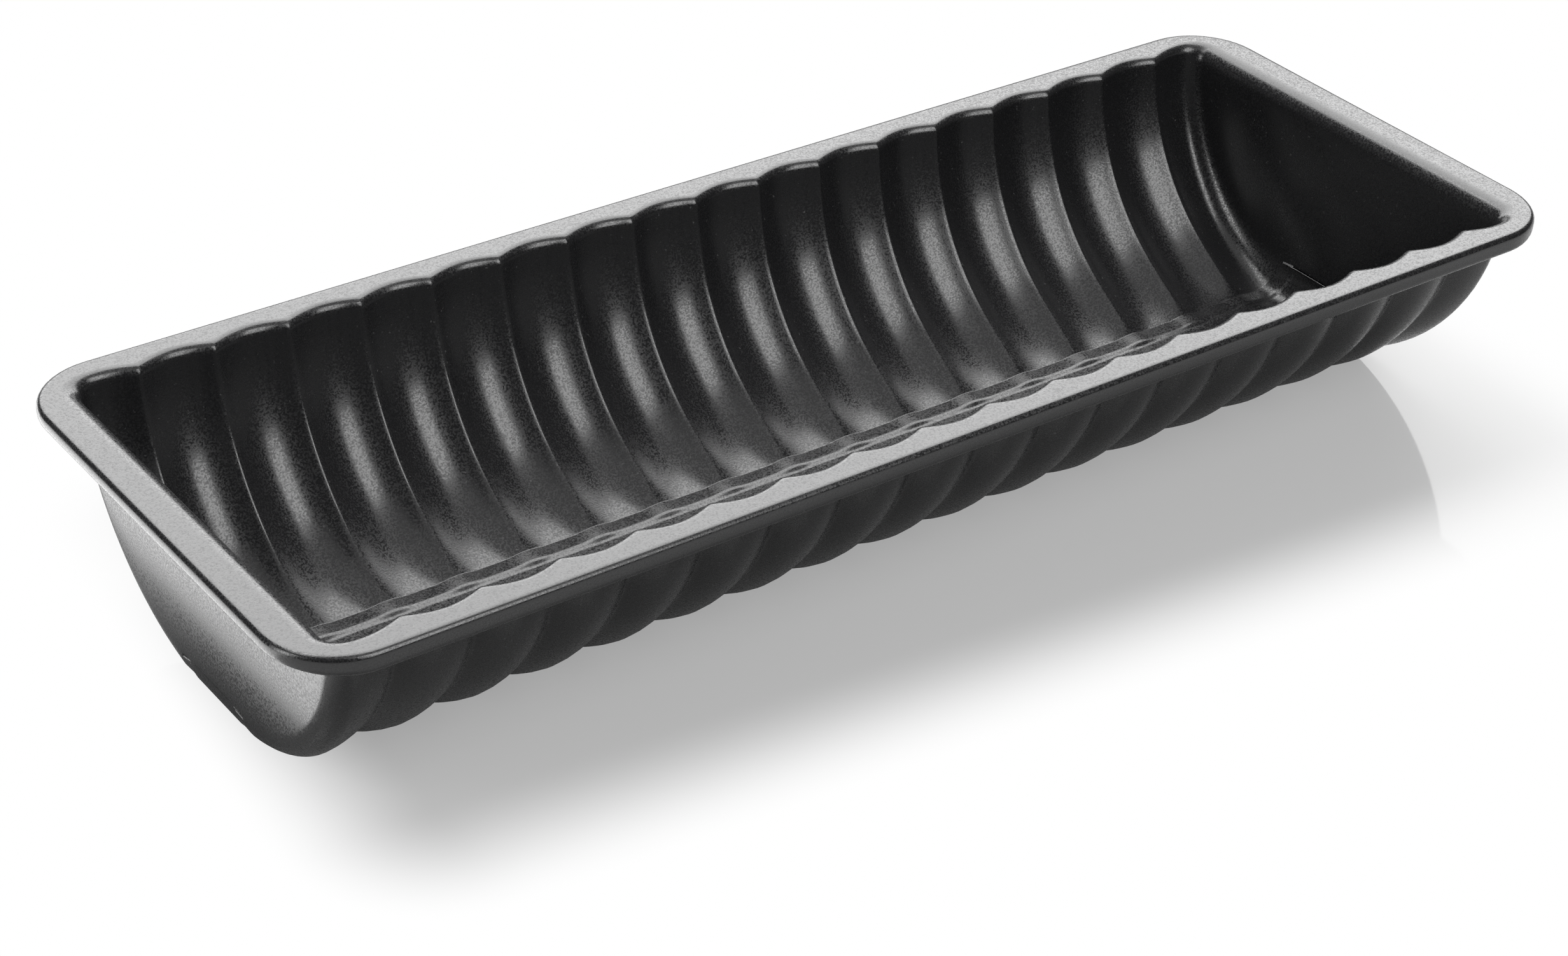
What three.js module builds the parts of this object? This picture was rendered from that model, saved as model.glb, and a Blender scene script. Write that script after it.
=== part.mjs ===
// Ridged loaf pan: a half-round baking pan with cross flutes, pressed from one steel sheet,
// with a flat flange whose edge is rolled round a stiffening wire.
// Millimetres, +Z up, +X along the pan. The origin lies on the table, under the pan's centre.
import * as THREE from 'three';

// Driving dimensions of the rim
const rimLength = 300;
const rimWidth = 112;
const panHeight = 47.0;
const rimCornerRadius = 15.3;
const sheet = 0.6;
const sideFlangeWidth = 4.6;
const endFlangeWidth = 6.1;

// Bends between the flange and the walls, on the inside of the pan
const sideBendRadius = 2.0;
const endBendRadius = 4.0;

// Trough: flutes run across it, and narrow ridges stand between them
const ridgePitch = 15.9;
const ridgeHeightAtRim = 1.9;
const ridgeHeightAtBottom = 2.6;
const ridgeCrestRadius = 1.0;
const ridgeHeightOnEdge = 0.5;
const ridgeHeightOnLip = 0.25;
const ridgeFootWidth = 9.0;
const ridgeRunOut = 10;
const leastEndFlute = 9.0;

// End walls: the rounding into the side walls is tighter than the rounding into the floor
const endCornerRadius = 4.0;
const endFloorRadius = 7.2;
const endDraftDegrees = 1.5;

// Bottom: the flutes end on a level ledge, where the ridges run out. From the ledge's lip a low step
// leads down to a flat channel along the middle, on which the pan stands.
const bottomWidth = 27.2;
const fluteEndHeight = 0.3;
const ledgeWidth = 3.5;
const lipHeight = 0.4;
const stepWidth = 1.2;

// Rolled edge and the wire in it: along the sides the roll hangs lower than at the ends
const wireDiameter = 1.8;
const wireClearance = 0.3;
const wireButtGap = 1.0;
const rollTopBendRadius = 1.2;
const sideRollDrop = 1.0;
const rollOpening = 0.5;

// Fineness of the facets
const wallSteps = 7;
const bendSteps = 3;
const roundingSteps = 4;
const cornerSteps = 7;
const rollSteps = 5;
const topBendSteps = 2;
const wireSides = 10;
const fluteStations = [0.12, 0.36, 0.64, 0.88];

// Pull towards the plain normal where the sheet is almost flat, when its lower face is set off
const steadiness = 0.02;

const coatedSteel = new THREE.MeshStandardMaterial({ color: 0x3a3b3d, roughness: 0.42, metalness: 0.35 });
const brightWire = new THREE.MeshStandardMaterial({ color: 0xb4b6b8, roughness: 0.35, metalness: 1.0 });

// Depths below are measured down from the flange's top face, and turned into heights at the end.
const halfLength = rimLength / 2;
const halfWidth = rimWidth / 2;
const floorDepth = panHeight - sheet;
const endWall = halfLength - endFlangeWidth - endBendRadius;
const bottomHalf = bottomWidth / 2;
const rollRadius = wireDiameter / 2 + wireClearance + sheet;
const topBend = Math.min(rollTopBendRadius, rollRadius);
const draft = Math.tan(THREE.MathUtils.degToRad(endDraftDegrees));

// Flutes and ridges each follow a half-round centred on the pan's middle line. It is given by
// where it starts below the flange and by where it meets the bottom.
function halfRound(topAway, topDepth, bottomAway, bottomDepth) {
  const rise = (topAway ** 2 + topDepth ** 2 - bottomAway ** 2 - bottomDepth ** 2)
    / (2 * (bottomDepth - topDepth));
  return { rise, radius: Math.hypot(topAway, rise + topDepth) };
}

const wallTop = halfWidth - sideFlangeWidth - sideBendRadius;
const fluteEndDepth = floorDepth - fluteEndHeight;
const fluteRound = halfRound(wallTop, sideBendRadius, bottomHalf, fluteEndDepth);
const ridgeRound = halfRound(
  wallTop - ridgeHeightAtRim,
  sideBendRadius,
  bottomHalf,
  fluteEndDepth - ridgeHeightAtBottom,
);

const ridgesEachSide = Math.floor((endWall - leastEndFlute) / ridgePitch);
const lastRidge = ridgesEachSide * ridgePitch;

// Distance from the nearest crest at a place along the pan, in half pitches and with the crest rounded
function crestDistance(x) {
  const along = Math.abs(x);
  const nearest = along > lastRidge ? lastRidge : Math.round(along / ridgePitch) * ridgePitch;
  const away = Math.min(Math.abs(along - nearest), ridgePitch / 2);
  const crestSlope = 4 * ridgeHeightAtRim / ridgePitch;
  const softness = ridgeCrestRadius * crestSlope;
  return (Math.hypot(away, softness) - softness) / (ridgePitch / 2);
}

// Share of the way from the ridges' surface out to the flutes' surface: a shallow arc from ridge to
// ridge on the walls, and straight between the ridges' smooth flanks on the bottom
function fluteShare(x) {
  return 1 - (1 - crestDistance(x)) ** 2;
}

function ledgeShare(x) {
  const along = Math.min(1, crestDistance(x) * ridgePitch / ridgeFootWidth);
  return (1 - Math.cos(Math.PI * along)) / 2;
}

// Down the wall the arc turns into the ledge's shape, with the ridges sunk to their height on its edge
function wallShare(x, down) {
  const sunk = ridgeHeightOnEdge / ridgeHeightAtBottom;
  const edgeShare = 1 - sunk * (1 - ledgeShare(x));
  return THREE.MathUtils.lerp(fluteShare(x), edgeShare, down ** ridgeRunOut);
}

// A station is one cross-section of the trough. Towards the ends the sections draw in along the
// end's rounding, whose angle runs from 0 on the side to a right angle on the end wall.
function sideStations() {
  const places = [];
  for (let ridge = -ridgesEachSide; ridge <= ridgesEachSide; ridge += 1) {
    places.push(ridge * ridgePitch);
    if (ridge < ridgesEachSide) {
      fluteStations.forEach((share) => places.push((ridge + share) * ridgePitch));
    }
  }
  const roundingStart = endWall - Math.max(endCornerRadius, endFloorRadius);
  fluteStations
    .map((share) => lastRidge + share * ridgePitch)
    .filter((x) => x < roundingStart - sheet)
    .forEach((x) => {
      places.push(x);
      places.unshift(-x);
    });
  return places.map((x) => ({ x, side: Math.sign(x), angle: 0 }));
}

function endStations(side) {
  const stations = [];
  for (let step = 0; step <= roundingSteps; step += 1) {
    stations.push({ side, angle: (step / roundingSteps) * Math.PI / 2 });
  }
  return stations;
}

const stations = [...endStations(-1).reverse(), ...sideStations(), ...endStations(1)];

function bendRadiusAt(angle) {
  return THREE.MathUtils.lerp(sideBendRadius, endBendRadius, Math.sin(angle) ** 2);
}

// A point of the trough at a station, from the top of the wall (down = 0) to the edge of the bottom
// (down = 1): its place along the pan, its distance from the middle line and its depth.
function wallPoint(station, down) {
  const rounding = THREE.MathUtils.lerp(endCornerRadius, endFloorRadius, down ** 2);
  const inset = rounding * (1 - Math.cos(station.angle));
  const edge = bottomHalf * (1 - inset / fluteRound.radius);
  const atEnd = station.side * (endWall - rounding * (1 - Math.sin(station.angle)));
  const x = station.x ?? atEnd;
  const [ridge, flute] = [ridgeRound, fluteRound].map(({ rise, radius }) => {
    const top = Math.asin((bendRadiusAt(station.angle) + rise) / (radius - inset));
    const bottom = Math.acos(edge / (radius - inset));
    const turn = THREE.MathUtils.lerp(top, bottom, down);
    return { away: (radius - inset) * Math.cos(turn), depth: (radius - inset) * Math.sin(turn) - rise };
  });
  const share = wallShare(x, down);
  return {
    x,
    away: THREE.MathUtils.lerp(ridge.away, flute.away, share),
    depth: THREE.MathUtils.lerp(ridge.depth, flute.depth, share),
  };
}

// The bottom's two points at a station: the ledge's lip and the foot of the step to the channel
function bottomPoints(station) {
  const edge = wallPoint(station, 1);
  const floor = floorDepth - endFloorRadius * (1 - Math.cos(station.angle));
  const ridge = ridgeHeightOnLip * (1 - ledgeShare(edge.x));
  const lip = { x: edge.x, away: edge.away - ledgeWidth, depth: floor - lipHeight - ridge };
  const foot = { x: edge.x, away: lip.away - stepWidth, depth: floor };
  return [lip, foot];
}

function halfSection(station) {
  const section = [];
  for (let step = 0; step <= wallSteps; step += 1) {
    section.push(wallPoint(station, step / wallSteps));
  }
  return [...section, ...bottomPoints(station)];
}

// The end wall leans in towards the floor, and its rounding follows it.
function leaned(station, { x, depth }) {
  return x - station.side * draft * (depth - endBendRadius) * Math.sin(station.angle);
}

// Vertices and triangles of the sheet's upper face: the inside of the trough, the top of the
// flange and the outside of the roll.
const points = [];
const triangles = [];

function addPoint(x, y, depth) {
  points.push(new THREE.Vector3(x, y, panHeight - depth));
  return points.length - 1;
}

function addQuad(a, b, c, d) {
  triangles.push([a, b, c], [a, c, d]);
}

// Trough: one row of vertices per station, from the rear wall across the floor to the front wall
const sections = stations.map((station) => {
  const half = halfSection(station);
  const rear = half.map((point) => addPoint(leaned(station, point), point.away, point.depth));
  const front = half.map((point) => addPoint(leaned(station, point), -point.away, point.depth));
  return [...rear, ...front.reverse()];
});
const rows = sections[0].length;
const lastStation = stations.length - 1;
for (let i = 0; i < lastStation; i += 1) {
  for (let r = 0; r < rows - 1; r += 1) {
    addQuad(sections[i][r], sections[i][r + 1], sections[i + 1][r + 1], sections[i + 1][r]);
  }
}

// End walls: level strips from the rear corner to the front corner
for (let r = 0; r < rows / 2 - 1; r += 1) {
  const left = sections[0];
  const right = sections[lastStation];
  addQuad(left[r], left[rows - 1 - r], left[rows - 2 - r], left[r + 1]);
  addQuad(right[r], right[r + 1], right[rows - 2 - r], right[rows - 1 - r]);
}

// Bend from the walls to the flange: a ring of columns along the rear, then back along the front
const rearColumns = stations.map((station, i) => ({ station, facing: 1, index: sections[i][0] }));
const frontColumns = stations.map((station, i) => ({ station, facing: -1, index: sections[i][rows - 1] }));
const ring = [...rearColumns, ...frontColumns.reverse()];

function bendColumn({ station, facing, index }) {
  const bend = bendRadiusAt(station.angle);
  const outX = station.side * Math.sin(station.angle);
  const outY = facing * Math.cos(station.angle);
  const column = [index];
  for (let step = 1; step <= bendSteps; step += 1) {
    const turn = (step / bendSteps) * Math.PI / 2;
    const out = bend * (1 - Math.cos(turn));
    const start = points[index];
    column.push(addPoint(start.x + out * outX, start.y + out * outY, bend * (1 - Math.sin(turn))));
  }
  return column;
}

const bendColumns = ring.map(bendColumn);
bendColumns.forEach((column, j) => {
  const next = bendColumns[(j + 1) % bendColumns.length];
  for (let step = 0; step < bendSteps; step += 1) {
    addQuad(column[step], next[step], next[step + 1], column[step + 1]);
  }
});
const flangeInner = bendColumns.map((column) => column[bendSteps]);

// Places round the rim's rounded rectangle, anticlockwise, each with its outward direction
function rimCorner(quarter) {
  const signX = quarter === 0 || quarter === 3 ? 1 : -1;
  const signY = quarter < 2 ? 1 : -1;
  const centre = new THREE.Vector2(
    signX * (halfLength - rimCornerRadius),
    signY * (halfWidth - rimCornerRadius),
  );
  const places = [];
  for (let step = 0; step <= cornerSteps; step += 1) {
    const angle = (quarter + step / cornerSteps) * Math.PI / 2;
    places.push({ centre, out: new THREE.Vector2(Math.cos(angle), Math.sin(angle)) });
  }
  return places;
}

function rimPoint({ centre, out }, inset) {
  return centre.clone().addScaledVector(out, rimCornerRadius - inset);
}

function rollCentreDepth(out) {
  return rollRadius + sideRollDrop * out.y ** 2;
}

// Rolled edge, as insets from the rim's outermost line and depths: the bend down, the round
// underside and the free edge standing up behind it
function rollProfile({ out }) {
  const profile = [];
  for (let step = 0; step <= topBendSteps; step += 1) {
    const turn = (step / topBendSteps) * Math.PI / 2;
    profile.push({ inset: topBend * (1 - Math.sin(turn)), depth: topBend * (1 - Math.cos(turn)) });
  }
  for (let step = 0; step <= rollSteps; step += 1) {
    const turn = (step / rollSteps) * Math.PI;
    profile.push({
      inset: rollRadius * (1 - Math.cos(turn)),
      depth: rollCentreDepth(out) + rollRadius * Math.sin(turn),
    });
  }
  profile.push({ inset: 2 * rollRadius, depth: sheet + rollOpening });
  return profile;
}

const rimPlaces = [0, 1, 2, 3].flatMap(rimCorner);
const rollColumns = rimPlaces.map((place) => rollProfile(place).map(({ inset, depth }) => {
  const at = rimPoint(place, inset);
  return addPoint(at.x, at.y, depth);
}));
rollColumns.forEach((column, k) => {
  const next = rollColumns[(k + 1) % rollColumns.length];
  for (let step = 0; step < column.length - 1; step += 1) {
    addQuad(column[step], column[step + 1], next[step + 1], next[step]);
  }
});

// Flange: the flat face between the rolled edge and the scalloped edge of the trough
const flangeOuter = rollColumns.map((column) => column[0]);
const flangePoints = [...flangeOuter, ...flangeInner];
const planOf = (index) => new THREE.Vector2(points[index].x, points[index].y);
THREE.ShapeUtils.triangulateShape(flangeOuter.map(planOf), [flangeInner.map(planOf)]).forEach((corners) => {
  const [a, b, c] = corners.map((corner) => flangePoints[corner]);
  const ab = planOf(b).sub(planOf(a));
  const ac = planOf(c).sub(planOf(a));
  triangles.push(ab.cross(ac) > 0 ? [a, b, c] : [a, c, b]);
});

// Thickness: every vertex moves to the lower face so that each face round it moves by one sheet.
function lowerFace() {
  const sums = points.map(() => ({ outer: new Array(9).fill(0), normal: new THREE.Vector3() }));
  triangles.forEach((corners) => {
    const [a, b, c] = corners.map((corner) => points[corner]);
    const normal = b.clone().sub(a).cross(c.clone().sub(a)).normalize();
    const n = normal.toArray();
    corners.forEach((corner, k) => {
      const here = points[corner];
      const one = points[corners[(k + 1) % 3]].clone().sub(here);
      const other = points[corners[(k + 2) % 3]].clone().sub(here);
      const weight = one.angleTo(other);
      const sum = sums[corner];
      n.forEach((ni, i) => n.forEach((nj, j) => {
        sum.outer[3 * i + j] += weight * ni * nj;
      }));
      sum.normal.addScaledVector(normal, weight);
    });
  });
  return points.map((point, index) => {
    const { outer, normal } = sums[index];
    const steadied = outer.map((value, k) => value + (k % 4 === 0 ? steadiness : 0));
    const target = normal.clone().addScaledVector(normal.clone().normalize(), steadiness);
    const shift = target.applyMatrix3(new THREE.Matrix3().set(...steadied).invert());
    return point.clone().addScaledVector(shift, -sheet);
  });
}

// The sheet as one closed solid: upper face, lower face turned over, and the free edge of the roll
function shellGeometry() {
  const count = points.length;
  const all = [...points, ...lowerFace()];
  const faces = [...triangles, ...triangles.map(([a, b, c]) => [a + count, c + count, b + count])];
  const edgeKey = (a, b) => a * count + b;
  const directed = new Set(triangles.flatMap(([a, b, c]) => [edgeKey(a, b), edgeKey(b, c), edgeKey(c, a)]));
  triangles.forEach(([a, b, c]) => {
    [[a, b], [b, c], [c, a]].forEach(([from, to]) => {
      if (!directed.has(edgeKey(to, from))) {
        faces.push([to, from, from + count], [to, from + count, to + count]);
      }
    });
  });
  return meshGeometry(all, faces);
}

function meshGeometry(vertices, faces) {
  const geometry = new THREE.BufferGeometry();
  geometry.setFromPoints(vertices);
  geometry.setIndex(faces.flat());
  geometry.computeVertexNormals();
  return geometry;
}

// Wire: a round rod along the middle of the roll, butted at the middle of the rear side
function wireGeometry() {
  const inset = rollRadius;
  const rear = halfWidth - inset;
  const back = new THREE.Vector2(0, 1);
  const corners = [1, 2, 3, 0].flatMap(rimCorner);
  const path = [
    { at: new THREE.Vector2(-wireButtGap / 2, rear), out: back },
    ...corners.map((place) => ({ at: rimPoint(place, inset), out: place.out })),
    { at: new THREE.Vector2(wireButtGap / 2, rear), out: back },
  ];
  const radius = wireDiameter / 2;
  const vertices = [];
  path.forEach(({ at, out }) => {
    for (let side = 0; side < wireSides; side += 1) {
      const turn = (side / wireSides) * Math.PI * 2;
      const place = at.clone().addScaledVector(out, radius * Math.cos(turn));
      const height = panHeight - rollCentreDepth(out) + radius * Math.sin(turn);
      vertices.push(new THREE.Vector3(place.x, place.y, height));
    }
  });
  const faces = [];
  for (let step = 0; step < path.length - 1; step += 1) {
    for (let side = 0; side < wireSides; side += 1) {
      const a = step * wireSides + side;
      const b = step * wireSides + (side + 1) % wireSides;
      faces.push([a, a + wireSides, b + wireSides], [a, b + wireSides, b]);
    }
  }
  const end = (path.length - 1) * wireSides;
  for (let side = 1; side < wireSides - 1; side += 1) {
    faces.push([0, side, side + 1], [end, end + side + 1, end + side]);
  }
  return meshGeometry(vertices, faces);
}

const pan = new THREE.Group();

const panShell = new THREE.Mesh(shellGeometry(), coatedSteel);
panShell.name = 'pan_shell';
pan.add(panShell);

const rimWire = new THREE.Mesh(wireGeometry(), brightWire);
rimWire.name = 'rim_wire';
pan.add(rimWire);

export default pan;
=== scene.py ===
import bpy
import numpy as np
from mathutils import Matrix, Vector


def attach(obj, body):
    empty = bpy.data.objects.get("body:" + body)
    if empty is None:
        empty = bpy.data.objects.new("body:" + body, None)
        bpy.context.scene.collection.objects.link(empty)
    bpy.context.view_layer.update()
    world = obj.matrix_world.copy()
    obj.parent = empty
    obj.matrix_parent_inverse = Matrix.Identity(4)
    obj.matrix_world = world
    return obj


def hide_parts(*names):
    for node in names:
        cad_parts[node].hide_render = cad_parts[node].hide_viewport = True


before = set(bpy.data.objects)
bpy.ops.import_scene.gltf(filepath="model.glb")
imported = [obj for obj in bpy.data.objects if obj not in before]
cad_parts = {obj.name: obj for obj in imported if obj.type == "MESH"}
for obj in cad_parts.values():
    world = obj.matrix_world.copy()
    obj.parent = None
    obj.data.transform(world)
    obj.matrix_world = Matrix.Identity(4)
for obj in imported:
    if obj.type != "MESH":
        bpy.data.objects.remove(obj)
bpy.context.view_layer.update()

# Camera: it looks down at the pan's front from the left, from where the photograph was taken.
# Its place, in millimetres from the middle of the rim, and its directions fit the rim's outline.
MM = 0.001
PAN_HEIGHT = 47.0
camera_data = bpy.data.cameras.new("camera")
camera_data.lens = 75.49
camera_data.sensor_width = 36.0
camera_data.sensor_fit = "HORIZONTAL"
camera = bpy.data.objects.new("camera", camera_data)
bpy.context.scene.collection.objects.link(camera)
camera_place = Vector((-350.30, -446.50, 320.24 + PAN_HEIGHT)) * MM
camera_back = Vector((-0.50993, -0.66976, 0.53981)).normalized()
upwards = Vector((0.29316, 0.45465, 0.84104))
camera_right = upwards.cross(camera_back).normalized()
camera_up = camera_back.cross(camera_right)
turn = Matrix((camera_right, camera_up, camera_back)).transposed()
camera.matrix_world = Matrix.Translation(camera_place) @ turn.to_4x4()
bpy.context.scene.camera = camera

# Pan shell: one pressing of thin steel sheet, coated all over before it goes into the press.
# One stroke draws the fluted trough, the flat channel along its bottom and the flange, and a
# second one curls the edge down round a wire.
RIM_LENGTH, RIM_WIDTH, RIM_CORNER = 300.0, 112.0, 15.3  # millimetres, as all sizes of the shell
SHEET = 0.6
SIDE_FLANGE, END_FLANGE = 4.6, 6.1
SIDE_BEND, END_BEND = 2.0, 4.0
RIDGE_PITCH, RIDGES_EACH_SIDE = 15.9, 8
RIDGE_AT_RIM, RIDGE_AT_BOTTOM, RIDGE_CREST = 1.9, 2.6, 1.0  # two heights, radius of the crest
RIDGE_ON_EDGE, RIDGE_ON_LIP = 0.5, 0.25  # heights where the ridges run out on the bottom
RIDGE_FOOT, RIDGE_RUN_OUT = 9.0, 10  # width on the ledge, power of the run-out
END_CORNER, END_FLOOR, END_DRAFT = 4.0, 7.2, np.radians(1.5)
BOTTOM_WIDTH, FLUTE_END, LEDGE, LIP, STEP = 27.2, 0.3, 3.5, 0.4, 1.2
EDGE_ROUND, LIP_ROUND, FOOT_ROUND = 0.12, 0.5, 0.5
WIRE, WIRE_CLEARANCE = 1.8, 0.3
ROLL_TOP_BEND, SIDE_ROLL_DROP, ROLL_OPENING = 1.2, 1.0, 0.5

floor_depth = PAN_HEIGHT - SHEET
end_wall = RIM_LENGTH / 2 - END_FLANGE - END_BEND
bottom_half = BOTTOM_WIDTH / 2
roll_radius = WIRE / 2 + WIRE_CLEARANCE + SHEET
last_ridge = RIDGES_EACH_SIDE * RIDGE_PITCH


def mix(a, b, share):
    """a + (b - a) * share."""
    return a + (b - a) * share


def half_round(top_away, top_depth, low_away, low_depth):
    """Circle about the pan's middle line through two places of a section: its centre's height
    above the rim, (top distance^2 - low distance^2) / (2 * depth between them), and its radius."""
    squares = top_away**2 + top_depth**2 - low_away**2 - low_depth**2
    rise = squares / (2 * (low_depth - top_depth))
    return rise, np.hypot(top_away, rise + top_depth)


wall_top = RIM_WIDTH / 2 - SIDE_FLANGE - SIDE_BEND
flute_end = floor_depth - FLUTE_END
ridge_end = flute_end - RIDGE_AT_BOTTOM
flute_round = half_round(wall_top, SIDE_BEND, bottom_half, flute_end)
ridge_round = half_round(wall_top - RIDGE_AT_RIM, SIDE_BEND, bottom_half, ridge_end)


def crest_distance(x):
    """Distance along the pan from the nearest crest, in half pitches, rounded at the crest to the
    hyperbola hypot(away, softness) - softness."""
    along = np.abs(x)
    nearest = np.where(along > last_ridge, last_ridge, np.round(along / RIDGE_PITCH) * RIDGE_PITCH)
    away = np.minimum(np.abs(along - nearest), RIDGE_PITCH / 2)
    softness = RIDGE_CREST * 4 * RIDGE_AT_RIM / RIDGE_PITCH
    return (np.hypot(away, softness) - softness) / (RIDGE_PITCH / 2)


def flute_share(x):
    """How far the wall lies from the ridges' surface (0) out to the flutes' surface (1):
    1 - (1 - crest distance)^2, a shallow arc from ridge to ridge."""
    return 1 - (1 - crest_distance(x)) ** 2


def ledge_share(x):
    """The same for the bottom's ledge, which is straight between the ridges' smooth flanks:
    (1 - cos(pi * min(1, distance / half of the ridge's foot))) / 2."""
    return (1 - np.cos(np.pi * np.minimum(1, crest_distance(x) * RIDGE_PITCH / RIDGE_FOOT))) / 2


def wall_surface(x, angle, down):
    """Side wall: x along the pan, angle round the end's rounding, and down from the wall's top (0)
    to the bottom (1). The section is an arc between two places on the half-rounds, drawn in by
    rounding * (1 - cos(angle)), and mixed from ridge to flute. Near the bottom the ridges sink to
    their height on its edge, as down^RIDGE_RUN_OUT."""
    inset = mix(END_CORNER, END_FLOOR, down**2) * (1 - np.cos(angle))
    edge = bottom_half * (1 - inset / flute_round[1])
    bend = mix(SIDE_BEND, END_BEND, np.sin(angle) ** 2)
    edge_share = 1 - RIDGE_ON_EDGE / RIDGE_AT_BOTTOM * (1 - ledge_share(x))
    share = mix(flute_share(x), edge_share, down**RIDGE_RUN_OUT)
    found = []
    for rise, radius in (ridge_round, flute_round):
        top = np.arcsin((bend + rise) / (radius - inset))
        low = np.arccos(edge / (radius - inset))
        turned = mix(top, low, down)
        found.append(((radius - inset) * np.cos(turned), (radius - inset) * np.sin(turned) - rise))
    (ridge_away, ridge_depth), (flute_away, flute_depth) = found
    return mix(ridge_away, flute_away, share), mix(ridge_depth, flute_depth, share)


def turn_steps(degrees, count):
    """Even angles from 0 to a number of degrees, in radians."""
    return np.radians(np.linspace(0, degrees, count))


# Cross-sections along the pan, close together at the crests. Past the last ridge they first run up
# to the end's rounding and then round it. The rows go down the wall, closer together at the edge.
HALF_PITCH_SECTIONS, CREST_CROWDING = 8, 1.8
APPROACH_SECTIONS, APPROACH_CROWDING = 9, 1.5
ROUNDING_SECTIONS = 13
WALL_ROWS, WALL_ARC = 29, 60  # the arc is a section's length from the bend to the edge, about
crest_steps = 0.5 * np.linspace(0, 1, HALF_PITCH_SECTIONS) ** CREST_CROWDING
pitch_steps = np.concatenate([crest_steps[:-1], 1 - crest_steps[:0:-1]])
ridges = np.arange(-RIDGES_EACH_SIDE, RIDGES_EACH_SIDE)
middle_x = np.append((ridges[:, None] + pitch_steps).ravel() * RIDGE_PITCH, last_ridge)
approach = np.linspace(0, 1, APPROACH_SECTIONS)[1:] ** APPROACH_CROWDING
end_angles = turn_steps(90, ROUNDING_SECTIONS)[1:]
down_to_round = (1 - EDGE_ROUND / WALL_ARC) * np.sin(turn_steps(90, WALL_ROWS))
down_rows = np.append(down_to_round, 1.0)


def end_places(rows):
    """Places along the pan past the last ridge, by section and row: a straight run to the rounding,
    then end_wall - rounding * (1 - sin(angle))."""
    rounding = mix(END_CORNER, END_FLOOR, rows**2)
    run = mix(last_ridge, end_wall - rounding, approach[:, None])
    turned = end_wall - rounding * (1 - np.sin(end_angles[:, None]))
    return np.concatenate([run, turned])


right_x = end_places(down_rows)
along = np.concatenate(
    [-right_x[::-1], np.repeat(middle_x[:, None], len(down_rows), axis=1), right_x]
)
right_angle = np.concatenate([np.zeros(len(approach)), end_angles])
angle = np.concatenate([right_angle[::-1], np.zeros(len(middle_x)), right_angle])[:, None]
rear_wall = np.stack([along, *wall_surface(along, angle, down_rows)], axis=-1)


def rounded_corner(start, corner, end, steps):
    """Points of (1-t)^2 start + 2t(1-t) corner + t^2 end for t in steps, on a new axis before the
    last one."""
    t = steps[:, None]
    a, b, c = start[..., None, :], corner[..., None, :], end[..., None, :]
    return (1 - t) ** 2 * a + 2 * t * (1 - t) * b + t**2 * c


def towards(start, end, length):
    """Places at most a length, and at most half the way, from start to end."""
    way = np.linalg.norm(end - start, axis=-1, keepdims=True)
    return mix(start, end, np.minimum(0.5, length / way))


# The wall meets the ledge in a sharp edge. The ledge's lip is rounded, and from it a low step leads
# down to the flat floor of the channel.
CORNER_POINTS = 6
edge = rear_wall[:, -1]
floor_line = floor_depth - END_FLOOR * (1 - np.cos(angle[:, 0]))
lip = edge - np.array([0.0, LEDGE, 0.0])
lip[:, 2] = floor_line - LIP - RIDGE_ON_LIP * (1 - ledge_share(edge[:, 0]))
foot = lip - np.array([0.0, STEP, 0.0])
foot[:, 2] = floor_line
foot_end = foot - np.array([0.0, FOOT_ROUND, 0.0])
steps = np.linspace(0, 1, CORNER_POINTS)
over_edge = rounded_corner(rear_wall[:, -2], edge, towards(edge, lip, EDGE_ROUND), steps[1:])
over_lip = rounded_corner(towards(lip, edge, LIP_ROUND), lip, towards(lip, foot, LIP_ROUND), steps)
round_foot = rounded_corner(towards(foot, lip, FOOT_ROUND), foot, foot_end, steps)
half_section = np.concatenate([rear_wall[:, :-1], over_edge, over_lip, round_foot], axis=1)

# The ends lean in by their draft, tan(draft) * depth below the bend, and the floor's rows and the
# front half, which mirrors the rear one, complete the trough.
lean = np.tan(END_DRAFT) * (half_section[..., 2] - END_BEND) * np.sin(angle)
half_section[..., 0] -= np.sign(half_section[..., 0]) * lean
mirror_y = np.array([1.0, -1.0, 1.0])
FLOOR_STRIPS = 12
across = np.linspace(1, -1, FLOOR_STRIPS + 1)[1:-1]
floor_rows = half_section[:, -1:, :] * np.stack(
    [np.ones_like(across), across, np.ones_like(across)], axis=-1
)
trough = np.concatenate([half_section, floor_rows, half_section[:, ::-1] * mirror_y], axis=1)

# The flat end walls span from the rear half of the end sections to the front half.
span = np.linspace(0, 1, FLOOR_STRIPS + 1)[:, None]
left_end = mix(half_section[0][:, None], half_section[0][:, None] * mirror_y, span)
right_end = mix(half_section[-1][:, None], half_section[-1][:, None] * mirror_y, span)

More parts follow.
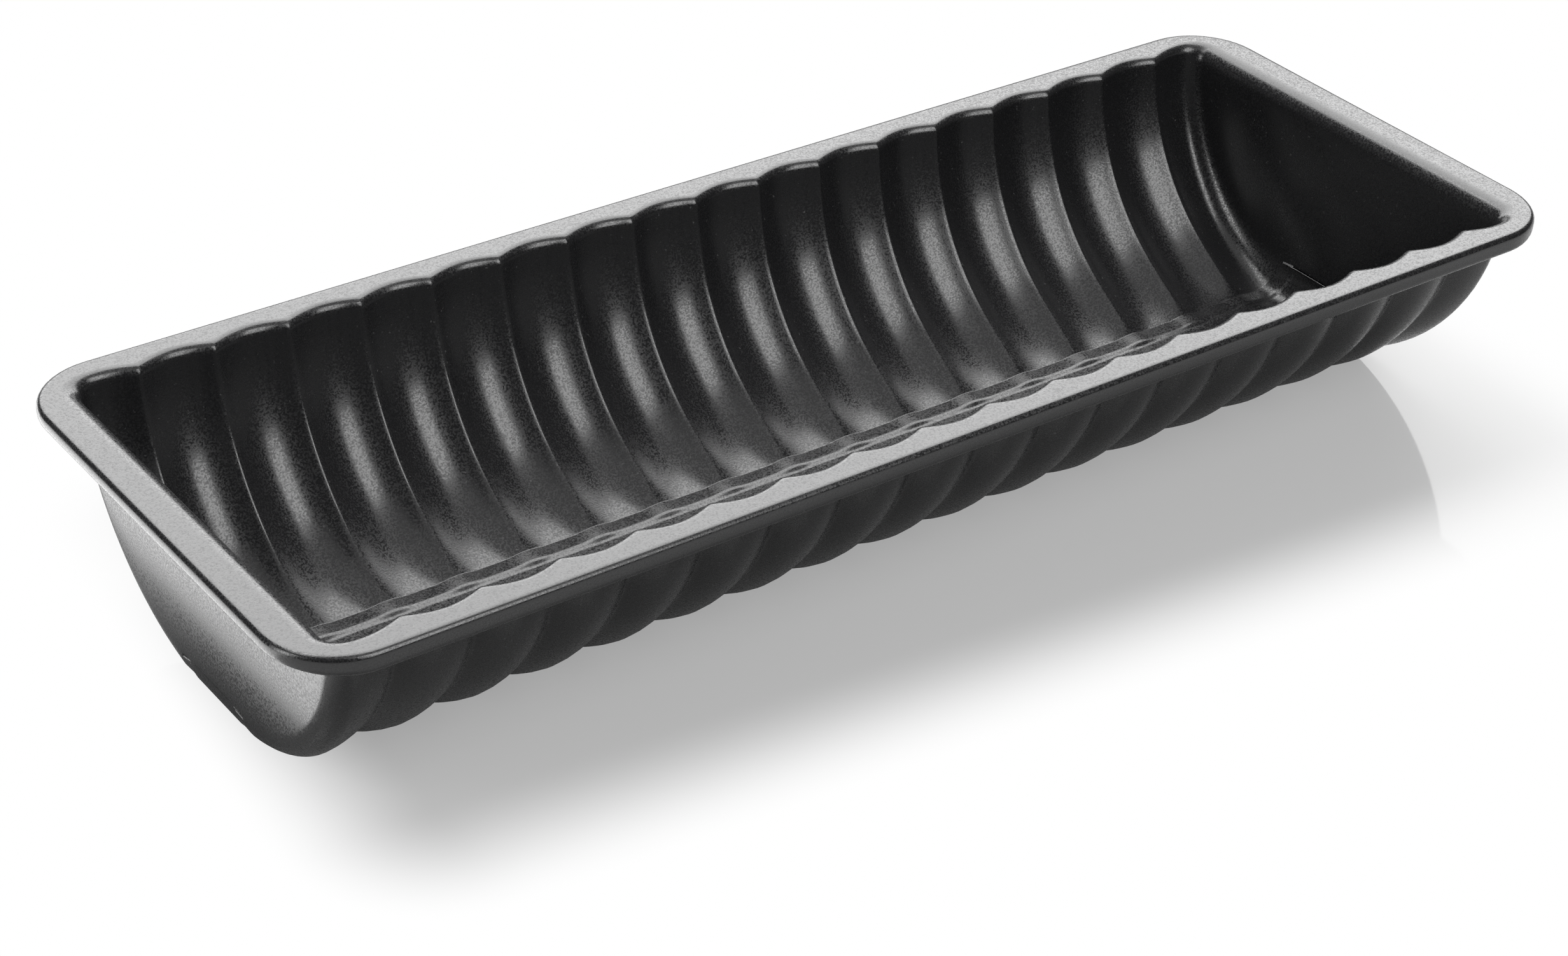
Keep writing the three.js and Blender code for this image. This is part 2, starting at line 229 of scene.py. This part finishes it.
# Round the rim once: rear, right end, front and left end, with the direction each place faces and
# its place on the rim's rounded rectangle.
rear_out = np.stack([np.sign(along[:, 0]) * np.sin(angle[:, 0]), np.cos(angle[:, 0])], axis=-1)
end_out = np.repeat([[1.0, 0.0]], FLOOR_STRIPS - 1, axis=0)
wall_ring = np.concatenate(
    [half_section[:, 0], right_end[0, 1:-1], half_section[::-1, 0] * mirror_y, left_end[0, -2:0:-1]]
)
out_ring = np.concatenate([rear_out, end_out, rear_out[::-1] * [1.0, -1.0], -end_out])
straight = np.array([RIM_LENGTH / 2 - RIM_CORNER, RIM_WIDTH / 2 - RIM_CORNER])
reach = np.array([end_wall - END_CORNER, np.abs(half_section[-1, 0, 1])])
corner_ring = np.clip(wall_ring[:, :2] / reach, -1, 1) * straight
bend_ring = mix(SIDE_BEND, END_BEND, out_ring[:, 0] ** 2)


def ring_points(plan, depth):
    """Places in plan with their depths, as (..., 3)."""
    return np.concatenate([plan, np.broadcast_to(depth, plan.shape[:-1])[..., None]], axis=-1)


# Bend from the walls to the flange: a quarter circle outwards and up.
BEND_POINTS = 7
bend_turn = turn_steps(90, BEND_POINTS)[:, None]
bend_plan = wall_ring[:, :2] + (bend_ring * (1 - np.cos(bend_turn)))[..., None] * out_ring
bend_rows = ring_points(bend_plan, bend_ring * (1 - np.sin(bend_turn)))

# Rolled edge: a quarter bend down, a straight face and a half circle under the wire, then the free
# edge standing up behind it. Insets are counted from the rim's outermost line.
ROLL_TOP_POINTS, ROLL_UNDER_POINTS = 6, 13
top_turn = turn_steps(90, ROLL_TOP_POINTS)[:, None]
under_turn = turn_steps(180, ROLL_UNDER_POINTS)[:, None]
ring_ones = np.ones(len(out_ring))
roll_centre = roll_radius + SIDE_ROLL_DROP * out_ring[:, 1] ** 2
roll_inset = np.concatenate([
    ROLL_TOP_BEND * (1 - np.sin(top_turn)) * ring_ones,
    roll_radius * (1 - np.cos(under_turn)) * ring_ones,
    [2 * roll_radius * ring_ones],
])
roll_depth = np.concatenate([
    ROLL_TOP_BEND * (1 - np.cos(top_turn)) * ring_ones,
    roll_centre + roll_radius * np.sin(under_turn),
    [(SHEET + ROLL_OPENING) * ring_ones],
])
roll_plan = corner_ring + (RIM_CORNER - roll_inset)[..., None] * out_ring
roll_rows = ring_points(roll_plan, roll_depth)

# Flange: flat, straight across from the bend to the roll. Its outer rows lie close to both, so that
# the smooth shading of the bends doesn't reach across it.
FLANGE_ROWS = np.array([0.08, 0.5, 0.92])
flange_rows = mix(bend_rows[-1], roll_rows[0], FLANGE_ROWS[:, None, None])
rim = np.concatenate([bend_rows, flange_rows, roll_rows])


def grid_quads(rows, columns, first, closed=False):
    """Quads (i, j), (i, j+1), (i+1, j+1), (i+1, j) of a rows x columns grid numbered from first."""
    i = np.arange(rows - 1)[:, None]
    j = np.arange(columns if closed else columns - 1)[None, :]
    k = (j + 1) % columns
    quads = [i * columns + j, i * columns + k, (i + 1) * columns + k, (i + 1) * columns + j]
    return first + np.stack(quads, axis=-1).reshape(-1, 4)


# Upper face: the grids are joined where their places, in rounded millimetres, are the same.
JOIN_DIGITS = 5
grids = [(trough, False), (left_end, False), (right_end[:, ::-1], False), (rim, True)]
places, quads, first = [], [], 0
for grid, closed in grids:
    places.append(grid.reshape(-1, 3))
    quads.append(grid_quads(*grid.shape[:2], first, closed))
    first += len(places[-1])
places, quads = np.concatenate(places), np.concatenate(quads)
places[:, 2] = PAN_HEIGHT - places[:, 2]
places, same = np.unique(np.round(places, JOIN_DIGITS), axis=0, return_inverse=True)
same = same.reshape(-1)
quads = same[quads]

# Thickness: the lower face lies one sheet below the upper one, along the corners' mean normals,
# and a strip closes the free edge of the roll.
NO_LENGTH = 1e-12


def unit(vectors):
    """Each vector divided by its length; one of no length stays as it is."""
    return vectors / np.maximum(np.linalg.norm(vectors, axis=1, keepdims=True), NO_LENGTH)


corners = places[quads]
face_normal = unit(np.cross(corners[:, 2] - corners[:, 0], corners[:, 3] - corners[:, 1]))
normal = np.zeros_like(places)
for corner in range(4):
    np.add.at(normal, quads[:, corner], face_normal)
lower = places - SHEET * unit(normal)
count = len(places)
free_edge = same[-rim.shape[1]:]
next_edge = np.roll(free_edge, -1)
edge_quads = np.stack([free_edge, next_edge, next_edge + count, free_edge + count], axis=-1)
shell_quads = np.concatenate([quads, quads[:, ::-1] + count, edge_quads[:, ::-1]])
shell_mesh = bpy.data.meshes.new("pan_shell_coated")
shell_places = np.concatenate([places, lower]) * MM
shell_mesh.from_pydata(shell_places.tolist(), [], shell_quads.tolist())
shell_mesh.validate()
shell_mesh.polygons.foreach_set("use_smooth", np.ones(len(shell_mesh.polygons), dtype=bool))
shell = bpy.data.objects.new("pan_shell_coated", shell_mesh)
bpy.context.scene.collection.objects.link(shell)


def colour(srgb_hex):
    """sRGB hex to linear RGBA: c / 12.92 below 0.04045, else ((c + 0.055) / 1.055) ^ 2.4."""
    channels = np.array([int(srgb_hex[i:i + 2], 16) for i in (0, 2, 4)]) / 255
    linear = np.where(channels <= 0.04045, channels / 12.92, ((channels + 0.055) / 1.055) ** 2.4)
    return (*linear.tolist(), 1.0)


def add_node(tree, kind, links=None, inputs=None, **settings):
    """Adds a node, sets its properties and plain inputs, and links sockets into its inputs."""
    node = tree.nodes.new(kind)
    for key, value in settings.items():
        setattr(node, key, value)
    for key, value in (inputs or {}).items():
        node.inputs[key].default_value = value
    for key, socket in (links or {}).items():
        tree.links.new(socket, node.inputs[key])
    return node


def new_material(name):
    """An empty node material, its tree, its output node and the Object coordinates."""
    made = bpy.data.materials.new(name)
    made.use_nodes = True
    tree = made.node_tree
    tree.nodes.clear()
    where = add_node(tree, "ShaderNodeTexCoord").outputs["Object"]
    return made, tree, add_node(tree, "ShaderNodeOutputMaterial"), where


# Charcoal non-stick coating: rolled on the sheet and baked into a fine pebbled grain, whose tops
# are glossier than its hollows, so that highlights break up into sparkle, with a few brighter
# flakes. The real grain is about 0.2 mm and is drawn at 0.4 mm, so that it shows.
GRAIN, FLAKE = 0.4, 0.7
PEBBLE_HEIGHT = 0.12
coating, tree, output, where = new_material("nonstick_coating_charcoal")
grain = add_node(
    tree, "ShaderNodeTexNoise", {"Vector": where},
    {"Scale": 1 / (GRAIN * MM), "Detail": 2.0, "Roughness": 0.6},
)
flakes = add_node(
    tree, "ShaderNodeTexNoise", {"Vector": where},
    {"Scale": 1 / (FLAKE * MM), "Detail": 1.0, "Roughness": 0.5},
)
flake_share = add_node(
    tree, "ShaderNodeMapRange", {"Value": flakes.outputs["Fac"]},
    {"From Min": 0.72, "From Max": 0.82, "To Min": 0.0, "To Max": 1.0},
)
tone = add_node(
    tree, "ShaderNodeMix", {"Factor": flake_share.outputs["Result"]},
    {"A": colour("181819"), "B": colour("4a4a4a")}, data_type="RGBA",
)
gloss = add_node(
    tree, "ShaderNodeMapRange", {"Value": grain.outputs["Fac"]},
    {"From Min": 0.36, "From Max": 0.64, "To Min": 0.41, "To Max": 0.13},
)
pebble = add_node(
    tree, "ShaderNodeBump", {"Height": grain.outputs["Fac"]},
    {"Strength": 0.15, "Distance": PEBBLE_HEIGHT * MM},
)
coat_shader = add_node(
    tree, "ShaderNodeBsdfPrincipled",
    {
        "Base Color": tone.outputs["Result"],
        "Roughness": gloss.outputs["Result"],
        "Normal": pebble.outputs["Normal"],
    },
    {"IOR": 1.55},
)
tree.links.new(coat_shader.outputs["BSDF"], output.inputs["Surface"])
shell.data.materials.append(coating)
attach(shell, "root")
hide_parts("pan_shell")

# Rim wire: plain drawn steel wire, laid in the roll before it is closed, with butted ends at the
# rear. The die leaves dull marks about a millimetre long on the bright metal. The roll hides the
# wire, apart from the slit under the flange.
DIE_MARK = 1.2
wire_steel, tree, output, where = new_material("drawn_steel_wire")
die_marks = add_node(
    tree, "ShaderNodeTexNoise", {"Vector": where},
    {"Scale": 1 / (DIE_MARK * MM), "Detail": 3.0, "Roughness": 0.6},
)
wire_gloss = add_node(
    tree, "ShaderNodeMapRange", {"Value": die_marks.outputs["Fac"]},
    {"From Min": 0.3, "From Max": 0.7, "To Min": 0.26, "To Max": 0.42},
)
wire_shader = add_node(
    tree, "ShaderNodeBsdfPrincipled", {"Roughness": wire_gloss.outputs["Result"]},
    {"Base Color": colour("c4c5c6"), "Metallic": 1.0},
)
tree.links.new(wire_shader.outputs["BSDF"], output.inputs["Surface"])
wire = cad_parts["rim_wire"]
wire.data.materials.clear()
wire.data.materials.append(wire_steel)

# Floor: a white glossy board. Round the pan it takes the pan's shadow and its mirror image, and
# farther out it runs into an evenly lit white sweep. For the camera the sweep starts right at the
# pan, so a third of white is painted light over the shadow. Sizes here are in metres.
FLOOR_HALF = 6.0
SWEEP_START, SWEEP_LEFT = -0.002, 0.034  # out from the rim's outline, and less at the left by
SWEEP_TURN = np.radians(5)  # the sweep's edge stands a little turned from the rim
# The least share is painted light over the pan's shadow, which only the camera sees.
SHADOW_PAINTED_LIGHT, SWEEP_FULL = 0.33, 0.033  # share of white at its start, way to the full white
MIRRORED_START, MIRRORED_FULL = 0.037, 0.077  # from none to full, as the pan mirrors it
floor_mesh = bpy.data.meshes.new("floor")
floor_corners = np.array([[-1, -1, 0], [1, -1, 0], [1, 1, 0], [-1, 1, 0]]) * FLOOR_HALF
floor_mesh.from_pydata(floor_corners.tolist(), [], [[0, 1, 2, 3]])
floor = bpy.data.objects.new("floor", floor_mesh)
bpy.context.scene.collection.objects.link(floor)
board, tree, output, where = new_material("white_acrylic_board")
half_length = (RIM_LENGTH * MM - SWEEP_LEFT) / 2 + SWEEP_START
half_width = RIM_WIDTH * MM / 2 + SWEEP_START
shifted = add_node(
    tree, "ShaderNodeMapping", {"Vector": where},
    {"Location": (-SWEEP_LEFT / 2, 0.0, 0.0), "Rotation": (0.0, 0.0, SWEEP_TURN)},
)
sides = add_node(
    tree, "ShaderNodeVectorMath", {0: shifted.outputs["Vector"]}, operation="ABSOLUTE",
)
beyond = add_node(
    tree, "ShaderNodeVectorMath", {0: sides.outputs["Vector"]},
    {1: (half_length, half_width, 0.0)}, operation="SUBTRACT",
)
outside = add_node(
    tree, "ShaderNodeVectorMath", {0: beyond.outputs["Vector"]},
    {1: (0.0, 0.0, 0.0)}, operation="MAXIMUM",
)
distance = add_node(
    tree, "ShaderNodeVectorMath", {0: outside.outputs["Vector"]}, operation="LENGTH",
)
path = add_node(tree, "ShaderNodeLightPath")
# For the camera alone, white a third strong is painted over the pan's shadow at the rim's outline
# and rises to full white over 33 mm: painted light that lightens the shadow and paints its fade.
seen_sweep_and_painted_light = add_node(
    tree, "ShaderNodeMapRange", {"Value": distance.outputs["Value"]},
    {"From Min": 0.0, "From Max": SWEEP_FULL, "To Min": SHADOW_PAINTED_LIGHT, "To Max": 1.0},
    interpolation_type="SMOOTHSTEP",
)
seen_with_painted_light = add_node(
    tree, "ShaderNodeMath",
    {0: seen_sweep_and_painted_light.outputs["Result"], 1: path.outputs["Is Camera Ray"]}, operation="MULTIPLY",
)
mirrored_sweep = add_node(
    tree, "ShaderNodeMapRange", {"Value": distance.outputs["Value"]},
    {"From Min": MIRRORED_START, "From Max": MIRRORED_FULL, "To Min": 0.0, "To Max": 1.0},
    interpolation_type="SMOOTHSTEP",
)
mirroring = add_node(
    tree, "ShaderNodeMath",
    {0: path.outputs["Is Glossy Ray"], 1: path.outputs["Is Transmission Ray"]},
    operation="MAXIMUM",
)
mirrored = add_node(
    tree, "ShaderNodeMath",
    {0: mirrored_sweep.outputs["Result"], 1: mirroring.outputs["Value"]}, operation="MULTIPLY",
)
white_and_painted_light_share = add_node(
    tree, "ShaderNodeMath",
    {0: seen_with_painted_light.outputs["Value"], 1: mirrored.outputs["Value"]}, operation="MAXIMUM",
)
board_shader = add_node(
    tree, "ShaderNodeBsdfPrincipled", None,
    {"Base Color": colour("a0a0a0"), "Roughness": 0.06, "IOR": 1.35},
)
white = add_node(tree, "ShaderNodeEmission", None, {"Color": colour("ffffff"), "Strength": 1.0})
floor_shader = add_node(
    tree, "ShaderNodeMixShader",
    {
        0: white_and_painted_light_share.outputs["Value"],
        1: board_shader.outputs["BSDF"],
        2: white.outputs["Emission"],
    },
)
tree.links.new(floor_shader.outputs["Shader"], output.inputs["Surface"])
floor_mesh.materials.append(board)


# Light: a large upright soft panel behind the pan, a smaller one above it, a wide dim one overhead
# and one in front, and two low ones at the left for the end wall, in a dim room.
def soft_panel(name, place, target, width, height, power):
    """A rectangular lamp at place, turned to face target, in metres and watts."""
    lamp = bpy.data.lights.new(name, "AREA")
    lamp.shape = "RECTANGLE"
    lamp.size, lamp.size_y = width, height
    lamp.energy = power
    panel = bpy.data.objects.new(name, lamp)
    panel.visible_camera = False
    bpy.context.scene.collection.objects.link(panel)
    facing = (Vector(place) - Vector(target)).to_track_quat("Z", "Y")
    panel.matrix_world = Matrix.Translation(place) @ facing.to_matrix().to_4x4()


soft_panel("panel_behind", (0.268, 0.489, 1.0), (-0.012, 0.130, 1.0), 1.034, 1.6, 29.5)
soft_panel("panel_above", (-0.233, 0.333, 0.933), (0.0, 0.0, 0.02), 0.68, 0.28, 3.0)
soft_panel("panel_over", (0.1, -0.1, 1.2), (0.1, -0.1, 0.0), 1.2, 0.9, 2.1)
soft_panel("panel_front", (0.16, -0.77, 0.72), (0.0, 0.0, 0.02), 0.55, 0.8, 8.3)
soft_panel("panel_left", (-0.62, 0.05, 0.25), (-0.17, 0.0, 0.0), 0.2, 0.4, 1.6)
soft_panel("panel_low", (-0.400, 0.23, 0.003), (-0.400, 0.23, 1.0), 0.5, 0.5, 2.2)

world = bpy.data.worlds.new("room")
bpy.context.scene.world = world
world.use_nodes = True
tree = world.node_tree
tree.nodes.clear()
output = add_node(tree, "ShaderNodeOutputWorld")
room = add_node(tree, "ShaderNodeBackground", None, {"Color": colour("ffffff"), "Strength": 0.06})
tree.links.new(room.outputs["Background"], output.inputs["Surface"])

bpy.context.scene.view_settings.view_transform = "Standard"
